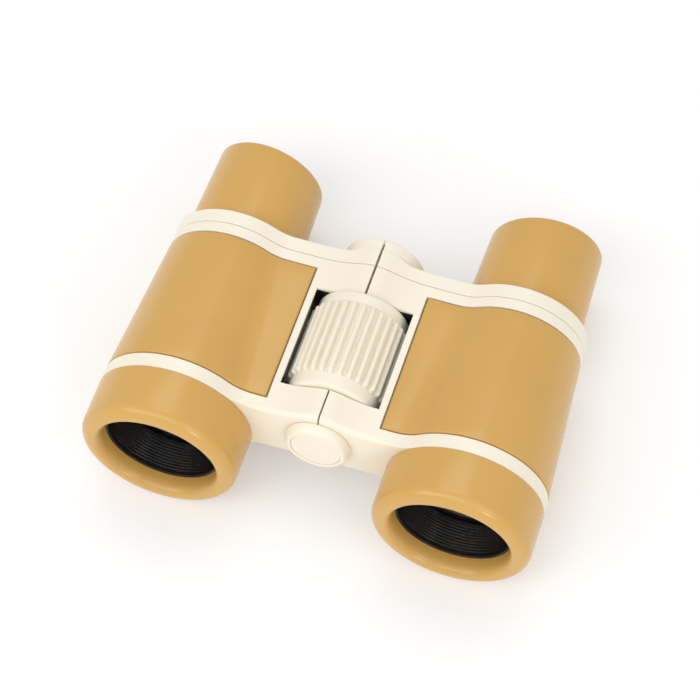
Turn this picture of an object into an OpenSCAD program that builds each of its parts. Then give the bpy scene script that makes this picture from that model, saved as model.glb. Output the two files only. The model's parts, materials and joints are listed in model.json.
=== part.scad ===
// Toy folding binoculars with a centre focus wheel.
// Lengths in millimetres. X runs across the barrels, Y from the objectives to the eyepieces, Z up.
// The origin is under the middle of the whole object, on the plane that the objective rings touch.
// Two body halves fold about one axis. The wheel turns the spindle, and the nut draws the
// eyepiece bridge along that same axis.

/* [Layout] */
// distance between the two barrel axes
barrel_spacing = 65; // [63:0.5:72]
// height of the hinge axis above the barrel axes
hinge_rise = 4.5; // [4:0.1:5.2]
// largest angle that the halves fold through
fold_range = 45; // [30:1:48]
// travel of the eyepiece bridge in one turn of the wheel
focus_travel = 5; // [3:0.5:6]

/* [Objective rings] */
// outer diameter of an objective ring
ring_d = 35; // [33:0.1:37]
// length of an objective ring
ring_len = 12.3; // [11.5:0.1:15]
// radial width of the ring's front lip
lip_w = 4.7; // [4.4:0.1:5.6]
// depth of the bore in the front lip
lip_len = 4; // [3.4:0.1:4.8]
// rounding of the ring's outer front edge
ring_edge = 2.6; // [1:0.1:2.8]
// wall of the ring over the barrel spigot
skirt_t = 1.3; // [1.1:0.05:1.5]

/* [Bodies] */
// cream band in front of the grip panel
front_band = 3.3; // [2.8:0.1:4]
// length of the grip panel
panel_len = 34.7; // [32:0.1:40]
// cream band behind the grip panel
rear_band = 2.6; // [2.2:0.1:3.4]
// step from the objective ring down to the barrel
ring_step = 0.1; // [0.05:0.05:0.5]
// diameter of the barrel at its rear end
barrel_rear_d = 30.4; // [29:0.1:32]
// height of the arm's top face above the barrel axis
arm_top = 11.2; // [10.4:0.1:12]
// depth of the arm's lower face under the barrel axis
arm_bottom = 2.8; // [2.2:0.1:3.4]
// hollow rounding from the arm's top to the barrel
cove_r = 9; // [6:0.5:11]
// hollow rounding from the arm's lower face to the barrel
foot_r = 4; // [3:0.5:5]
// wall of the barrel at its rear end
barrel_wall = 1.5; // [1.2:0.1:1.8]
// length of the spigot that carries the objective ring
spigot_len = 4; // [3:0.1:5]

/* [Grip panels] */
// thickness of the grip panel
panel_t = 1.2; // [1:0.05:1.4]
// rounding of the panel's end edges
panel_edge = 0.35; // [0.2:0.05:0.6]

/* [Wheel window] */
// width of the window for the wheel
window_w = 21.9; // [21:0.1:22.6]
// length of the hinge bar in front of the window
front_bar = 7.65; // [7:0.05:9]
// length of the hinge bar behind the window
rear_bar = 7.8; // [7.2:0.1:9.2]
// wall between the window and the grip panel
strip_w = 1.5; // [1.2:0.1:2]

/* [Hinge] */
// outer diameter of the hinge hub
hub_d = 18.4; // [17.6:0.1:18.8]
// hollow rounding from the hub to the arm's top
hump_r = 26; // [20:0.5:30]
// slit between the two halves on top
slit = 0.55; // [0.4:0.05:0.8]
// wall of the hub over the other half's lug
hub_shell = 2.9; // [2.6:0.05:3.2]
// wall of a hinge lug
lug_wall = 1.65; // [1.4:0.05:1.8]
// wall of the rear hinge bush
bush_wall = 1.1; // [0.9:0.05:1.2]
// wall of the focus nut's sleeve
nut_wall = 1.2; // [1:0.05:1.3]

/* [Hinge boss and rear cap] */
// diameter of the boss and of the rear cap where they meet the hub
boss_d = 14.6; // [13.8:0.1:15.6]
// length of the boss in front of the bodies
boss_len = 2.3; // [1.9:0.1:3]
// radius that the boss loses towards its front
boss_taper = 1.25; // [0.8:0.05:1.5]
// width of the rim round the cover disc
boss_rim = 0.55; // [0.4:0.05:0.9]
// length of the rear cap
cap_len = 3.5; // [3:0.1:4.5]

/* [Focus wheel] */
// how far the wheel's ribs reach under the window's sides
wheel_tuck = 0.3; // [0.1:0.05:0.5]
// gap between the ribs and the round pocket in the window's sides
wheel_side_gap = 0.35; // [0.3:0.05:0.5]
// gap between the wheel's ends and the window
wheel_end_gap = 0.2; // [0.15:0.05:0.4]
// number of ribs round the wheel
rib_count = 32; // [24:1:40]
// depth of the grooves between the ribs
rib_depth = 0.95; // [0.6:0.05:1.2]
// length of the plain collar in front of the ribs
front_collar = 3.3; // [2.4:0.1:4]
// length of the plain collar behind the ribs
rear_collar = 2.9; // [2:0.1:3.6]
// drop from the rib tops to the collars
collar_drop = 0.8; // [0.4:0.05:1]
// depth of the bearing in each end of the wheel
bearing_len = 3; // [2:0.1:3.6]

/* [Bridge and eyepieces] */
// thickness of the eyepiece bridge
bridge_t = 3.3; // [2.8:0.1:4]
// length of the hub behind the bridge
hub_tail = 2.6; // [2:0.1:3.4]
// step from the barrel's rear end in to the eyepiece
eyepiece_step = 1.95; // [1.7:0.05:2.3]
// length of an eyepiece behind the bridge, on its outer side
eyepiece_len = 22.1; // [19.5:0.1:26]
// slant of the eyepiece's end, which makes its inner side shorter
eye_slant = 5; // [0:0.5:8]
// radius that the eyepiece loses towards the eye
eyepiece_taper = 0.65; // [0.3:0.05:1]
// rounding of the eyepiece's rear edge
eyepiece_edge = 0.6; // [0.4:0.1:1.2]
// radial width of the eyepiece's end face round the eye opening
eye_end_w = 4.6; // [4:0.1:5.6]
// depth of the eye lens from the outer side of the eyepiece's end
eye_recess = 5; // [4:0.1:6.5]
// length of the draw tube inside the barrel
draw_len = 14; // [10:0.5:18]

/* [Optics] */
// length of the black objective cell
cell_len = 11.5; // [10.5:0.1:11.5]
// number of ridges inside the cell
ridge_count = 9; // [6:1:12]
// thickness of the objective lens at its edge
lens_edge = 1.6; // [1.2:0.1:2]
// sphere radius of the objective lens
lens_curve = 62; // [50:1:90]
// thickness of the eye lens at its edge
eye_lens_edge = 3; // [2.6:0.1:3.6]
// sphere radius of the eye lens
eye_lens_curve = 40; // [36:1:60]

/* [Hidden] */
$fn = 96;
// clearances: pieces that stay together, pieces that run in each other, lug faces, bridge seam
fit = 0.05;
run = 0.06;
lug_gap = 0.2;
seam = 0.15;
slide_gap = 0.2;
panel_gap = 0.22;
eps = 0.01;

bx = barrel_spacing / 2;
ring_r = ring_d / 2;
front_r = ring_r - ring_step;
rear_r = barrel_rear_d / 2;
axis_z = ring_r;
hinge_z = axis_z + hinge_rise;

// stations along Y
total_len = ring_len + front_band + panel_len + rear_band + seam + bridge_t + eyepiece_len;
ring_y0 = -total_len / 2;
body_y0 = ring_y0 + ring_len;
panel_y0 = body_y0 + front_band;
panel_y1 = panel_y0 + panel_len;
body_y1 = panel_y1 + rear_band;
bridge_y0 = body_y1 + seam;
bridge_y1 = bridge_y0 + bridge_t;
hub_y1 = bridge_y1 + hub_tail;
eye_y1 = bridge_y1 + eyepiece_len;
window_y0 = body_y0 + front_bar;
window_y1 = body_y1 - rear_bar;
front_mid = (body_y0 + window_y0) / 2;
rear_mid = (window_y1 + body_y1) / 2;
bridge_mid = (bridge_y0 + hub_y1) / 2;

// radii inside an objective ring, from the outside in
spigot_r = ring_r - skirt_t;
cell_r = spigot_r - 1.2 - fit;
ring_bore_r = ring_r - lip_w;
cell_bore_r = ring_bore_r - 0.4;
lens_r = cell_bore_r + 1.1;
cell_y0 = ring_y0 + lip_len;
cell_y1 = cell_y0 + cell_len;
retainer_t = 1.5;
seat_y = cell_y1 - retainer_t - lens_edge - (lens_dome(lens_r) - lens_dome(cell_bore_r)) - fit;

// radii on the hinge axis, from the outside in
hub_r = hub_d / 2;
lug_r = hub_r - hub_shell - lug_gap;
pin_r = lug_r - lug_wall;
nut_r = pin_r - bush_wall - run;
spindle_r = nut_r - nut_wall - run;
nut_grip = 2.5;
nut_y0 = body_y1 - focus_travel - nut_grip;
flange_r = lug_r - 1;
vee = fold_range / 2 + 3;

wheel_r = window_w / 2 + wheel_tuck;
pocket_r = wheel_r + wheel_side_gap;
wheel_y0 = window_y0 + wheel_end_gap;
wheel_y1 = window_y1 - wheel_end_gap;
panel_x = window_w / 2 + strip_w;

// eyepiece radii
eye_r0 = rear_r - eyepiece_step;
eye_r1 = eye_r0 - eyepiece_taper;
neck_r = eye_r0 - 0.8;
draw_r = neck_r - 1 - fit;
draw_y0 = body_y1 - draw_len;
draw_y1 = bridge_y1 + 4;
eye_bore_r = eye_r1 - eye_end_w;
eye_seat_r = eye_bore_r + 1.1;
eye_seat_y = eye_y1 - eye_recess;
core_front_r = front_r - panel_t - panel_gap;
core_rear_r = rear_r - panel_t - panel_gap;
tube_rear_r = max(core_rear_r - barrel_wall, draw_r + slide_gap + 0.1);

// boss and rear cap; cover recess and, inside the pin, the screw well
boss_y0 = body_y0 - fit - boss_len;
boss_r = boss_d / 2;
boss_r1 = boss_r - boss_taper;
cover_r = boss_r1 - boss_rim;
cover_t = 0.8;
cover_sink = 0.15;
well_r = pin_r - 1.2;
well_y = boss_y0 + cover_sink + cover_t + 1.9;
washer_t = 0.5;

CREAM = [0.95, 0.91, 0.82];
MUSTARD = [0.83, 0.65, 0.37];
BLACK = [0.12, 0.12, 0.12];
STEEL = [0.7, 0.7, 0.72];
GLASS = [0.75, 0.82, 0.85, 0.5];

// depth of the front lens's domed face between its middle and radius r
function lens_dome(r) = lens_curve - sqrt(pow(lens_curve, 2) - pow(r, 2));

// points of an arc from angle a0 to a1 in n steps, without its first point where first is 1
function arc(c, r, a0, a1, n, first = 0) = [for (i = [first : n])
    let (a = a0 + (a1 - a0) * i / n)
    c + r * [cos(a), sin(a)]];

// domed side of the boss and of the rear cap, from its foot at y0 to its end at y1
function dome_line(y0, y1) = [for (i = [0 : 8])
    let (a = 90 * i / 8)
    [boss_r1 + boss_taper * cos(a), y0 + (y1 - y0) * sin(a)]];

// centres of the hollow roundings, seen along Y with the barrel axis at [bx, 0]
function cove_c(r) = [bx - sqrt(pow(r + cove_r, 2) - pow(arm_top + cove_r, 2)), arm_top + cove_r];
function foot_c(r) = [bx - sqrt(pow(r + foot_r, 2) - pow(arm_bottom + foot_r, 2)), -arm_bottom - foot_r];
function hump_c() = [sqrt(pow(hub_r + hump_r, 2) - pow(arm_top + hump_r - hinge_rise, 2)), arm_top + hump_r];
function heading(a, b) = atan2(b[1] - a[1], b[0] - a[0]);
function start_turn(x, c, r) = x > c[0] ? acos((x - c[0]) / r) : 90;
function reach(x, c, r) = x > c[0] ? sqrt(r * r - pow(x - c[0], 2)) : r;

// outline of a half from the arm's top edge at x0, over the barrel, to the arm's lower edge at x0;
// r is the barrel radius there and e an inset from the surface
function shell_line(r, x0, e) =
    let (b = [bx, 0], c = cove_c(r), f = foot_c(r), lead = x0 + 0.4,
         a_c = heading(b, c), a_f = heading(b, f))
    concat([[x0, c[1] - reach(x0, c, cove_r + e)]],
           arc(c, cove_r + e, -start_turn(lead, c, cove_r + e), a_c - 180, 8),
           arc(b, r - e, a_c, a_f, 60, 1),
           arc(f, foot_r + e, a_f + 180, start_turn(lead, f, foot_r + e), 6, 1),
           [[x0, f[1] + reach(x0, f, foot_r + e)]]);

// closed outline of a half with its share of the hinge hub
function half_points(r) =
    let (h = [0, hinge_rise], c = hump_c(), a = heading(h, c))
    concat(arc(h, hub_r, 90, a, 10), arc(c, hump_r, a + 180, 270, 8, 1), shell_line(r, c[0] + 1, 0),
           [[0, -arm_bottom]]);

// a plane outline drawn in X and Z, made solid from y0 to y1
module prism(y0, y1) {
    translate([0, y1, axis_z])
        rotate([90, 0, 0])
            linear_extrude(height = y1 - y0)
                children();
}

// a profile of radius and Y, turned about a line along Y
module turned(x, z) {
    translate([x, 0, z])
        rotate([-90, 0, 0])
            rotate_extrude()
                children();
}

// a round bar along Y
module rod(x, z, y0, y1, r0, r1) {
    translate([x, y0, z])
        rotate([-90, 0, 0])
            cylinder(h = y1 - y0, r1 = r0, r2 = r1);
}

// what is cut from the right half for the top slit and for folding
module fold_cut(y0, y1) {
    drop = 40;
    prism(y0, y1)
        polygon([[-60, 60], [slit / 2, 60], [slit / 2, hinge_rise],
                 [slit / 2 + drop * tan(vee), hinge_rise - drop], [-60, hinge_rise - drop]]);
}

// the part of a half's outline between the hinge axis and the panel's edge
module bar_outline(r) {
    intersection() {
        polygon(half_points(r));
        translate([0, -60])
            square([panel_x, 120]);
    }
}

// right body half; lugs and gaps are [from, to] along Y of its own lugs and of the other half's
module body_half(lugs, gaps, bore) {
    difference() {
        union() {
            difference() {
                union() {
                    prism(body_y0, panel_y0)
                        polygon(half_points(front_r));
                    prism(panel_y0 - eps, window_y0)
                        bar_outline(front_r);
                    prism(panel_y1, body_y1)
                        polygon(half_points(rear_r));
                    prism(window_y1, panel_y1 + eps)
                        bar_outline(rear_r);
                }
                fold_cut(body_y0 - 1, body_y1 + 1);
                for (g = gaps)
                    rod(0, hinge_z, g[0], g[1], lug_r + lug_gap, lug_r + lug_gap);
            }
            for (s = lugs)
                rod(0, hinge_z, s[0], s[1], lug_r, lug_r);
            translate([window_w / 2, window_y0 - eps, axis_z - arm_bottom])
                cube([strip_w, window_y1 - window_y0 + 2 * eps, arm_bottom + arm_top]);
            translate([panel_x - eps, panel_y0 - eps, axis_z - arm_bottom + panel_t + panel_gap])
                cube([bx - panel_x, panel_len + 2 * eps, arm_bottom + arm_top - 2 * (panel_t + panel_gap)]);
            rod(bx, axis_z, panel_y0 - eps, panel_y1 + eps, core_front_r, core_rear_r);
            rod(bx, axis_z, body_y0 - spigot_len, body_y0 + eps, spigot_r, spigot_r);
        }
        rod(bx, axis_z, body_y0 - spigot_len - 1, cell_y1 + fit, cell_r + fit, cell_r + fit);
        rod(bx, axis_z, cell_y1, panel_y1, cell_r - 0.9, tube_rear_r);
        rod(bx, axis_z, panel_y1 - 1, body_y1 + 1, draw_r + slide_gap, draw_r + slide_gap);
        rod(0, hinge_z, body_y0 - 1, body_y1 + 1, bore, bore);
        rod(0, hinge_z, window_y0, window_y1, pocket_r, pocket_r);
    }
}

module right_body() {
    color(CREAM)
        body_half([[front_mid + lug_gap / 2, window_y0], [window_y1, rear_mid - lug_gap / 2]],
                  [[body_y0 - 1, front_mid + lug_gap / 2], [rear_mid - lug_gap / 2, body_y1 + 1]],
                  pin_r + run);
}

module left_body() {
    color(CREAM)
        mirror([1, 0, 0])
            body_half([[body_y0, front_mid - lug_gap / 2], [rear_mid + lug_gap / 2, body_y1]],
                      [[front_mid - lug_gap / 2, window_y0 + 1], [window_y1 - 1, rear_mid + lug_gap / 2]],
                      pin_r + fit / 2);
}

// wrap-round panel: outline shells at stations along Y, joined by triangles
module grip_panel() {
    x0 = panel_x + panel_gap;
    y0 = panel_y0 + panel_gap;
    y1 = panel_y1 - panel_gap;
    e = panel_edge;
    stations = [[y0, e], [y0 + 0.3 * e, 0.3 * e], [y0 + e, 0], [y1 - e, 0], [y1 - 0.3 * e, 0.3 * e], [y1, e]];
    rings = [for (s = stations)
        let (r = front_r + (rear_r - front_r) * (s[0] - panel_y0) / panel_len,
             out = shell_line(r, x0, s[1]), back = shell_line(r, x0, panel_t), n = len(out))
        concat([for (p = out) [p[0], s[0], axis_z + p[1]]],
               [for (i = [n - 1 : -1 : 0]) [back[i][0], s[0], axis_z + back[i][1]]])];
    m = len(rings[0]);
    h = m / 2;
    k = len(rings) - 1;
    skin = [for (j = [0 : k - 1], i = [0 : m - 1], t = [0, 1])
        let (a = j * m + i, b = j * m + (i + 1) % m)
        t == 0 ? [a, a + m, b] : [b, a + m, b + m]];
    front = [for (i = [0 : h - 2], t = [0, 1])
        let (a = i, b = i + 1, c = m - 2 - i, d = m - 1 - i)
        t == 0 ? [a, b, d] : [b, c, d]];
    rear = [for (f = front) [f[2] + k * m, f[1] + k * m, f[0] + k * m]];
    polyhedron(points = [for (r = rings, p = r) p], faces = concat(skin, front, rear), convexity = 6);
}

module right_grip_panel() {
    color(MUSTARD)
        grip_panel();
}

module left_grip_panel() {
    color(MUSTARD)
        mirror([1, 0, 0])
            grip_panel();
}

// front ring with a rounded lip, a step for the cell and a skirt over the spigot
module objective_ring(side) {
    mouth = 0.7 * (lip_w - ring_edge);
    step_y = body_y0 - spigot_len - fit;
    turned(side * bx, axis_z)
        polygon(concat([[spigot_r + fit, body_y0 - fit], [ring_r, body_y0 - fit]],
                       arc([ring_r - ring_edge, ring_y0 + ring_edge], ring_edge, 0, -90, 10),
                       arc([ring_bore_r + mouth, ring_y0 + mouth], mouth, -90, -180, 6),
                       [[ring_bore_r, cell_y0], [cell_r + fit, cell_y0], [cell_r + fit, step_y],
                        [spigot_r + fit, step_y]]));
}

module right_objective_ring() {
    color(MUSTARD)
        objective_ring(1);
}

module left_objective_ring() {
    color(MUSTARD)
        objective_ring(-1);
}

// black tube with ridges inside and a seat for the lens at its rear
module objective_cell(side) {
    y0 = cell_y0 + fit;
    depth = 0.25;
    pitch = (seat_y - y0 - 1.6) / ridge_count;
    turned(side * bx, axis_z)
        polygon(concat([[cell_bore_r, y0], [cell_r, y0], [cell_r, cell_y1], [lens_r + fit, cell_y1],
                        [lens_r + fit, seat_y], [cell_bore_r, seat_y]],
                       [for (i = [ridge_count - 1 : -1 : 0], g = [[0.7, 0], [0.55, depth], [0.2, depth], [0.05, 0]])
                           [cell_bore_r + g[1], y0 + 0.8 + (i + g[0]) * pitch]]));
}

module right_objective_cell() {
    color(BLACK)
        objective_cell(1);
}

module left_objective_cell() {
    color(BLACK)
        objective_cell(-1);
}

// front lens, flat behind and domed in front
module objective_lens(side) {
    y1 = cell_y1 - retainer_t;
    vertex_y = y1 - lens_edge - lens_dome(lens_r);
    intersection() {
        rod(side * bx, axis_z, vertex_y - 1, y1, lens_r, lens_r);
        translate([side * bx, vertex_y + lens_curve, axis_z])
            sphere(r = lens_curve, $fn = 192);
    }
}

module right_objective_lens() {
    color(GLASS)
        objective_lens(1);
}

module left_objective_lens() {
    color(GLASS)
        objective_lens(-1);
}

// plain ring from y0 to y1
module ring(x, z, y0, y1, outer, inner) {
    difference() {
        rod(x, z, y0, y1, outer, outer);
        rod(x, z, y0 - 1, y1 + 1, inner, inner);
    }
}

module right_objective_retainer() {
    color(BLACK)
        ring(bx, axis_z, cell_y1 - retainer_t, cell_y1, lens_r, lens_r - 1.4);
}

module left_objective_retainer() {
    color(BLACK)
        ring(-bx, axis_z, cell_y1 - retainer_t, cell_y1, lens_r, lens_r - 1.4);
}

// hub behind the bridge, with a hollow foot, inside the outline of the bridge
module bridge_tail() {
    foot = 1.4;
    tail_r = hub_r - 0.15;
    intersection() {
        prism(bridge_y1 - 2 * eps, hub_y1 + 1)
            polygon(half_points(rear_r));
        turned(0, hinge_z)
            polygon(concat([[0, bridge_y1 - eps], [tail_r + foot, bridge_y1 - eps]],
                           arc([tail_r + foot, bridge_y1 + foot], foot, -90, -180, 6),
                           [[tail_r, hub_y1], [0, hub_y1]]));
    }
}

// right half of the eyepiece bridge; lug and gap are [from, to] along Y
module bridge_half(lug, gap) {
    difference() {
        union() {
            difference() {
                union() {
                    prism(bridge_y0, bridge_y1)
                        polygon(half_points(rear_r));
                    bridge_tail();
                }
                fold_cut(bridge_y0 - 1, hub_y1 + 1);
                rod(0, hinge_z, gap[0], gap[1], lug_r + lug_gap, lug_r + lug_gap);
            }
            rod(0, hinge_z, lug[0], lug[1], lug_r, lug_r);
        }
        rod(0, hinge_z, bridge_y0 - 1, hub_y1 + 1, nut_r + run, nut_r + run);
        rod(0, hinge_z, bridge_y0 - 1, bridge_y0 + 1 + fit, flange_r + fit, flange_r + fit);
        rod(bx, axis_z, bridge_y0 - 1, bridge_y1 + 1, neck_r + fit, neck_r + fit);
    }
}

module right_bridge() {
    color(CREAM)
        bridge_half([bridge_mid + lug_gap / 2, hub_y1], [bridge_y0 - 1, bridge_mid + lug_gap / 2]);
}

module left_bridge() {
    color(CREAM)
        mirror([1, 0, 0])
            bridge_half([bridge_y0, bridge_mid - lug_gap / 2], [bridge_mid - lug_gap / 2, hub_y1 + 1]);
}

// everything in front of the slanted end plane of an eyepiece, with a rounded rim
module eye_end(side) {
    rim_r = eye_r1 + 0.15;
    e = eyepiece_edge;
    translate([side * bx, eye_y1 - (rim_r - e) * tan(eye_slant), axis_z])
        rotate([0, 0, side * eye_slant])
            turned(0, 0)
                polygon(concat([[0, -60], [40, -60], [40, -e]],
                               arc([rim_r - e, -e], e, 0, 90, 8),
                               [[0, 0]]));
}

// tapered tube with a neck through the bridge, a draw tube socket, a lens seat and a slanted end
module eyepiece(side) {
    back = bridge_y1 + fit;
    over = eye_y1 + 0.5;
    intersection() {
        turned(side * bx, axis_z)
            polygon([[draw_r + fit, bridge_y0], [neck_r, bridge_y0], [neck_r, back], [eye_r0, back],
                     [eye_r1, over], [eye_bore_r, over], [eye_bore_r, eye_seat_y],
                     [eye_seat_r + fit, eye_seat_y], [eye_seat_r + fit, draw_y1], [draw_r + fit, draw_y1]]);
        eye_end(side);
    }
}

module right_eyepiece() {
    color(MUSTARD)
        eyepiece(1);
}

module left_eyepiece() {
    color(MUSTARD)
        eyepiece(-1);
}

module right_draw_tube() {
    color(BLACK)
        ring(bx, axis_z, draw_y0, draw_y1 - fit, draw_r, draw_r - 1.1);
}

module left_draw_tube() {
    color(BLACK)
        ring(-bx, axis_z, draw_y0, draw_y1 - fit, draw_r, draw_r - 1.1);
}

// rear lens, hollow on both faces
module eye_lens(side) {
    sag = eye_lens_curve - sqrt(pow(eye_lens_curve, 2) - pow(eye_seat_r, 2));
    y1 = eye_seat_y - fit;
    y0 = y1 - eye_lens_edge;
    difference() {
        rod(side * bx, axis_z, y0, y1, eye_seat_r, eye_seat_r);
        translate([side * bx, y0 + sag - 0.2 - eye_lens_curve, axis_z])
            sphere(r = eye_lens_curve, $fn = 192);
        translate([side * bx, y1 - sag + 0.2 + eye_lens_curve, axis_z])
            sphere(r = eye_lens_curve, $fn = 192);
    }
}

module right_eye_lens() {
    color(GLASS)
        eye_lens(1);
}

module left_eye_lens() {
    color(GLASS)
        eye_lens(-1);
}

module eye_retainer(side) {
    y1 = eye_seat_y - 2 * fit - eye_lens_edge;
    ring(side * bx, axis_z, y1 - retainer_t, y1, eye_seat_r, eye_seat_r - 1.5);
}

module right_eye_retainer() {
    color(BLACK)
        eye_retainer(1);
}

module left_eye_retainer() {
    color(BLACK)
        eye_retainer(-1);
}

// ribbed wheel with plain collars and a bearing in each end
module focus_wheel() {
    pitch = 360 / rib_count;
    rib = [[-0.5, 1], [-0.32, 1], [-0.28, 0.5], [-0.2, 0.15], [-0.1, 0.03], [0, 0], [0.1, 0.03], [0.2, 0.15],
           [0.28, 0.5], [0.32, 1]];
    collar_r = wheel_r - collar_drop;
    edge = 0.7;
    color(CREAM)
        difference() {
            union() {
                translate([0, 0, hinge_rise])
                    prism(wheel_y0 + front_collar, wheel_y1 - rear_collar)
                        polygon([for (i = [0 : rib_count - 1], p = rib)
                            let (a = (i + p[0]) * pitch, r = wheel_r - rib_depth * p[1])
                            [r * cos(a), r * sin(a)]]);
                turned(0, hinge_z)
                    polygon(concat([[0, wheel_y0], [collar_r - edge, wheel_y0]],
                                   arc([collar_r - edge, wheel_y0 + edge], edge, -90, 0, 4),
                                   [[collar_r, wheel_y0 + front_collar + eps],
                                    [spindle_r + 2, wheel_y0 + front_collar + eps],
                                    [spindle_r + 2, wheel_y1 - rear_collar - eps],
                                    [collar_r, wheel_y1 - rear_collar - eps]],
                                   arc([collar_r - edge, wheel_y1 - edge], edge, 0, 90, 4),
                                   [[0, wheel_y1]]));
            }
            rod(0, hinge_z, wheel_y0 - 1, wheel_y0 + bearing_len, pin_r + run, pin_r + run);
            rod(0, hinge_z, wheel_y1 - bearing_len, wheel_y1 + 1, pin_r + run, pin_r + run);
            rod(0, hinge_z, wheel_y0 - 1, wheel_y1 + 1, spindle_r + fit / 2, spindle_r + fit / 2);
        }
}

// flanged hollow pin: the boss in front, the hinge pin behind
module hinge_boss() {
    pin_y1 = wheel_y0 + bearing_len - 0.2;
    sink_y = boss_y0 + cover_sink + cover_t;
    foot_y = body_y0 - fit;
    dome = dome_line(foot_y - 0.3, boss_y0);
    color(CREAM)
        turned(0, hinge_z)
            polygon(concat([[spindle_r + run, well_y], [well_r, well_y], [well_r, sink_y], [cover_r + fit, sink_y],
                            [cover_r + fit, boss_y0]],
                           [for (i = [8 : -1 : 0]) dome[i]],
                           [[boss_r, foot_y], [pin_r, foot_y], [pin_r, pin_y1], [spindle_r + run, pin_y1]]));
}

module boss_cover() {
    color(CREAM)
        rod(0, hinge_z, boss_y0 + cover_sink, boss_y0 + cover_sink + cover_t - fit, cover_r, cover_r);
}

module focus_spindle() {
    hole_r = 1;
    color(STEEL)
        difference() {
            rod(0, hinge_z, well_y - fit, hub_y1 - 0.3, spindle_r, spindle_r);
            rod(0, hinge_z, well_y - 1, well_y + 6, hole_r, hole_r);
        }
}

module spindle_washer() {
    color(STEEL)
        ring(0, hinge_z, well_y - 2 * fit - washer_t, well_y - 2 * fit, well_r - 0.3, 1.1);
}

module spindle_screw() {
    head_y1 = well_y - 3 * fit - washer_t;
    color(STEEL)
        union() {
            rod(0, hinge_z, head_y1 - 0.9, head_y1, 1.9, 2.1);
            rod(0, hinge_z, head_y1 - eps, well_y + 5, 0.95, 0.95);
        }
}

module rear_hinge_bush() {
    color(BLACK)
        ring(0, hinge_z, wheel_y1 - bearing_len + 0.2, body_y1, pin_r, nut_r + run);
}

// threaded sleeve with a flange that pushes the bridge
module focus_nut() {
    color(BLACK)
        turned(0, hinge_z)
            polygon([[spindle_r + run, nut_y0], [nut_r, nut_y0], [nut_r, bridge_y0],
                     [flange_r, bridge_y0], [flange_r, bridge_y0 + 1], [nut_r, bridge_y0 + 1],
                     [nut_r, hub_y1 + 1.6], [spindle_r + run, hub_y1 + 1.6]]);
}

module rear_cap() {
    y0 = hub_y1 + 2 * fit;
    y1 = y0 + cap_len;
    color(CREAM)
        turned(0, hinge_z)
            polygon(concat([[0, hub_y1 + 1.7], [nut_r + fit / 2, hub_y1 + 1.7], [nut_r + fit / 2, y0],
                            [boss_r, y0]],
                           dome_line(y0 + 0.4, y1),
                           [[0, y1]]));
}

left_body();
right_body();
left_grip_panel();
right_grip_panel();
left_objective_ring();
right_objective_ring();
left_objective_cell();
right_objective_cell();
left_objective_lens();
right_objective_lens();
left_objective_retainer();
right_objective_retainer();
left_bridge();
right_bridge();
left_eyepiece();
right_eyepiece();
left_draw_tube();
right_draw_tube();
left_eye_lens();
right_eye_lens();
left_eye_retainer();
right_eye_retainer();
focus_wheel();
focus_spindle();
spindle_screw();
spindle_washer();
hinge_boss();
boss_cover();
rear_hinge_bush();
focus_nut();
rear_cap();
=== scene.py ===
"""Looks of the toy binoculars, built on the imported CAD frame.

Lengths in this script are millimetres, in the CAD frame: X across the barrels, Y from the
objectives to the eyepieces, Z up. They become metres only where a mesh, lamp or camera is made.
"""
import json
import math

import bmesh
import bpy
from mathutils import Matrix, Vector


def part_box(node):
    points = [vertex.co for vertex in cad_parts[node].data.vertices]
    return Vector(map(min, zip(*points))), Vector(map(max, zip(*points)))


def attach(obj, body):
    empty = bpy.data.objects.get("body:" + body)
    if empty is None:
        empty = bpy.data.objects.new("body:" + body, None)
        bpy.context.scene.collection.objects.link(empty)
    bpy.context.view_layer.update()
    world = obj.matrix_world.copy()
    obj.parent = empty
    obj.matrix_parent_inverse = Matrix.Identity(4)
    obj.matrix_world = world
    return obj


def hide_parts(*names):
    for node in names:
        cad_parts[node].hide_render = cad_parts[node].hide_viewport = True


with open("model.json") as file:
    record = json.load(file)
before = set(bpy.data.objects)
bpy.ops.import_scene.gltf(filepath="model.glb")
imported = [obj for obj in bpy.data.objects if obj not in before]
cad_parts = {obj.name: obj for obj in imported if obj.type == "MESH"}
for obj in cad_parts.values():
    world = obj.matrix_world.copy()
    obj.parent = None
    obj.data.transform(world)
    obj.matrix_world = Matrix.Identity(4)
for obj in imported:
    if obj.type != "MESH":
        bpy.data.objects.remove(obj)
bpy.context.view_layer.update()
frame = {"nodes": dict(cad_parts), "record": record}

MM = 0.001
SIDES = (("left", -1), ("right", 1))

# Clearances, as in the CAD source: of fixed pieces, and of pieces that turn.
FIT = 0.05
RUN = 0.06


def span(node, axis):
    """Lowest and highest coordinate of a CAD node along an axis."""
    low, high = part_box(node)
    return low[axis] / MM, high[axis] / MM


def half_width(node):
    """Half of a CAD node's width, which is the radius of a round one."""
    low, high = span(node, 0)
    return (high - low) / 2


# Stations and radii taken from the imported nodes, so the looks follow the CAD sizes.
RING_Y0, RING_Y1 = span("right_objective_ring", 1)
RING_R = half_width("right_objective_ring")
BARREL_X = sum(span("right_objective_ring", 0)) / 2
AXIS_Z = sum(span("right_objective_ring", 2)) / 2
CELL_Y0, CELL_Y1 = span("right_objective_cell", 1)
CELL_R = half_width("right_objective_cell")
PANEL_Y0, PANEL_Y1 = span("right_grip_panel", 1)
PANEL_X = span("right_grip_panel", 0)[0]
BRIDGE_Y0 = span("right_bridge", 1)[0]
BRIDGE_LOW = span("right_bridge", 2)[0]
EYE_Y0, EYE_Y1 = span("right_eyepiece", 1)
EYE_R = half_width("right_eyepiece")
WHEEL_Y0, WHEEL_Y1 = span("focus_wheel", 1)
WHEEL_R = half_width("focus_wheel")
HINGE_Z = sum(span("focus_wheel", 2)) / 2
BOSS_Y0, BOSS_Y1 = span("hinge_boss", 1)
BOSS_R = half_width("hinge_boss")
COVER_Y0, COVER_Y1 = span("boss_cover", 1)
COVER_R = half_width("boss_cover")
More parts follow.
